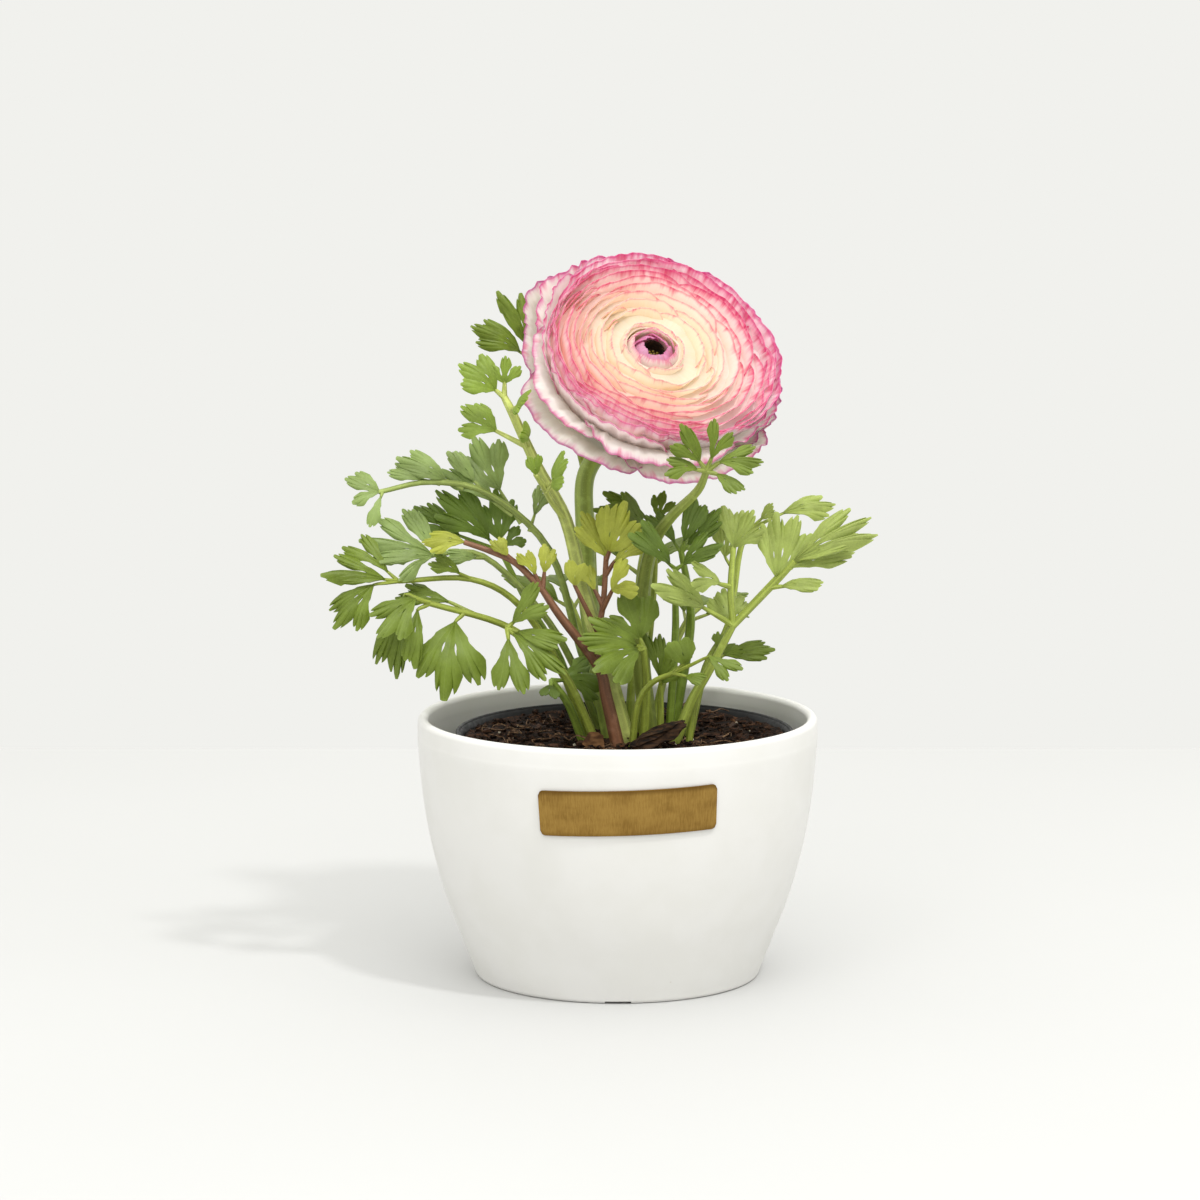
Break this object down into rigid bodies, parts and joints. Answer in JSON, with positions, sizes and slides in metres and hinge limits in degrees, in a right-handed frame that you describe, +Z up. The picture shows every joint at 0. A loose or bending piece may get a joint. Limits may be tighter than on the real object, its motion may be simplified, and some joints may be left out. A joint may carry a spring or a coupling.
{
  "type": "potted ranunculus",
  "caption": "Pink and cream double ranunculus in bloom with cut green leaves, in a nursery pot inside a white cachepot with a blank brass plate.",
  "frame": {"origin": "centre of the cachepot's flat underside, on the surface it stands on", "axes": "+Z up, -Y to the front, which carries the brass plate, +X to the right seen from the front"},
  "size_m": [0.1888, 0.1413, 0.2522],
  "materials": {
    "ceramic_white": "matte",
    "brass": "satin",
    "black_plastic": "satin",
    "soil": "matte",
    "bark": "matte",
    "leaf_green": "satin",
    "stem_green": "satin",
    "petal": "matte",
    "eye": "matte"
  },
  "bodies": {
    "root": {"bark_chip": "bark", "calyx": "leaf_green", "dry_leaf_scrap": "bark", "flower_eye": "eye", "flower_stem": "stem_green", "grow_pot": "black_plastic", "leaf_arching": "leaf_green", "leaf_back": "leaf_green", "leaf_back_left": "leaf_green", "leaf_back_right": "leaf_green", "leaf_behind_bloom": "leaf_green", "leaf_centre": "leaf_green", "leaf_centre_low": "leaf_green", "leaf_drooping": "leaf_green", "leaf_left_dark": "leaf_green", "leaf_left_front": "leaf_green", "leaf_left_long": "leaf_green", "leaf_left_middle": "leaf_green", "leaf_low": "leaf_green", "leaf_red_stalk": "leaf_green", "leaf_right_back": "leaf_green", "leaf_right_dark": "leaf_green", "leaf_right_inner": "leaf_green", "leaf_right_low": "leaf_green", "leaf_right_pale": "leaf_green", "leaf_right_small": "leaf_green", "leaf_under_bloom": "leaf_green", "leafy_stem": "leaf_green", "name_plate": "brass", "outer_pot": "ceramic_white", "petal_guard_1": "petal", "petal_guard_2": "petal", "petal_guard_3": "petal", "petal_guard_4": "petal", "petal_guard_5": "petal", "petal_middle_1": "petal", "petal_middle_2": "petal", "petal_middle_3": "petal", "petal_middle_4": "petal", "petal_middle_5": "petal", "petal_upper_1": "petal", "petal_upper_2": "petal", "petal_upper_3": "petal", "petal_upper_4": "petal", "petal_upper_5": "petal", "petal_whorl_1": "petal", "petal_whorl_2": "petal", "petal_whorl_3": "petal", "petal_whorl_4": "petal", "petal_whorl_5": "petal", "petal_whorl_6": "petal", "potting_soil": "soil", "side_stem": "leaf_green"}
  },
  "joints": []
}
